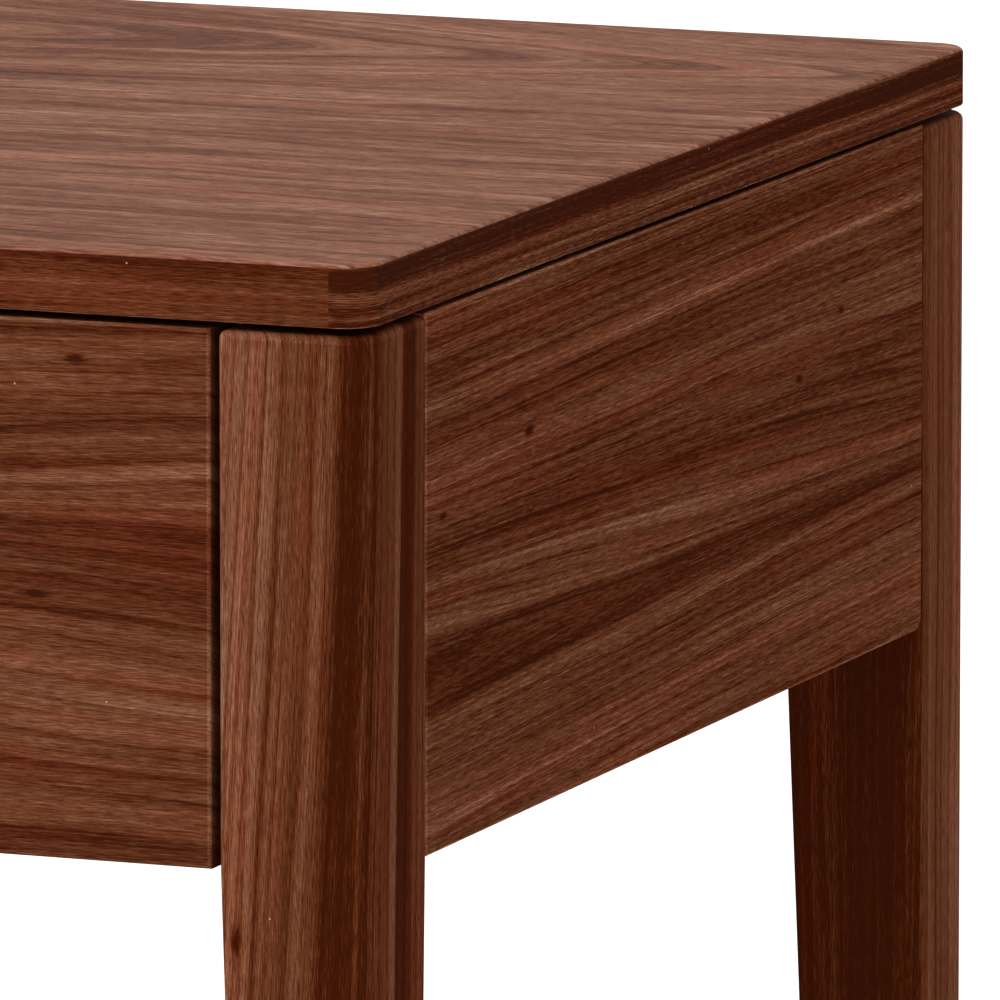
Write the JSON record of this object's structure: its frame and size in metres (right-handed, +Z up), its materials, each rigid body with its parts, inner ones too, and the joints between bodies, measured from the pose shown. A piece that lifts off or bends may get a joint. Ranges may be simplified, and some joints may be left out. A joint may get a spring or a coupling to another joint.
{
  "type": "side table with drawer",
  "caption": "Walnut side table with softly rounded corners, tapering square legs and a handleless inset drawer that opens on ball-bearing slides.",
  "frame": {"origin": "on the floor in the middle of the footprint", "axes": "+X to the right of someone facing the drawer, +Y from the drawer front towards the back, +Z up"},
  "size_m": [0.55, 0.5, 0.58],
  "materials": {
    "walnut": "oiled",
    "hidden_beech": "planed",
    "drawer_walnut": "oiled",
    "birch_plywood": "lacquered",
    "beech_tenons": "unfinished",
    "slide_steel": "zinc plated",
    "bearing_steel": "polished",
    "screw_steel": "zinc plated",
    "buffer_rubber": "matte",
    "glide_nylon": "matte"
  },
  "bodies": {
    "table": {"table_top": "walnut", "leg_front_left": "walnut", "leg_front_right": "walnut", "leg_rear_left": "walnut", "leg_rear_right": "walnut", "side_panel_left": "walnut", "side_panel_right": "walnut", "back_panel": "walnut", "front_top_rail": "hidden_beech", "rear_top_rail": "hidden_beech", "top_cleat_left": "hidden_beech", "top_cleat_right": "hidden_beech", "slide_packer_left": "hidden_beech", "slide_packer_right": "hidden_beech", "slide_outer_left": "slide_steel", "slide_outer_right": "slide_steel", "slide_buffer_left": "buffer_rubber", "slide_buffer_right": "buffer_rubber", "foot_glide_front_left": "glide_nylon", "foot_glide_front_right": "glide_nylon", "foot_glide_rear_left": "glide_nylon", "foot_glide_rear_right": "glide_nylon", "loose_tenons": "beech_tenons", "rail_dowels": "beech_tenons", "top_screws": "screw_steel", "frame_screws": "screw_steel", "slide_cabinet_screws": "screw_steel", "glide_nails": "screw_steel"},
    "slide_cages_outer": {"slide_cage_outer_left": "bearing_steel", "slide_cage_outer_right": "bearing_steel"},
    "slide_middles": {"slide_middle_left": "slide_steel", "slide_middle_right": "slide_steel"},
    "slide_cages_inner": {"slide_cage_inner_left": "bearing_steel", "slide_cage_inner_right": "bearing_steel"},
    "drawer": {"drawer_front": "walnut", "drawer_box_front": "drawer_walnut", "drawer_box_back": "drawer_walnut", "drawer_side_left": "drawer_walnut", "drawer_side_right": "drawer_walnut", "drawer_bottom": "birch_plywood", "slide_inner_left": "slide_steel", "slide_inner_right": "slide_steel", "slide_drawer_screws": "screw_steel", "drawer_front_screws": "screw_steel"}
  },
  "joints": [
    {"name": "drawer_slide", "type": "slide", "parent": "table", "child": "drawer", "axis": [0, -1, 0], "range_m": [0, 0.39]},
    {"name": "middle_slide", "type": "slide", "parent": "table", "child": "slide_middles", "axis": [0, -1, 0], "range_m": [0, 0.195]},
    {"name": "outer_cage_slide", "type": "slide", "parent": "table", "child": "slide_cages_outer", "axis": [0, -1, 0], "range_m": [0, 0.0975]},
    {"name": "inner_cage_slide", "type": "slide", "parent": "table", "child": "slide_cages_inner", "axis": [0, -1, 0], "range_m": [0, 0.2925]}
  ],
  "couplings": [
    {"joint": "middle_slide", "follows": "drawer_slide", "ratio": 0.5},
    {"joint": "outer_cage_slide", "follows": "drawer_slide", "ratio": 0.25},
    {"joint": "inner_cage_slide", "follows": "drawer_slide", "ratio": 0.75}
  ]
}
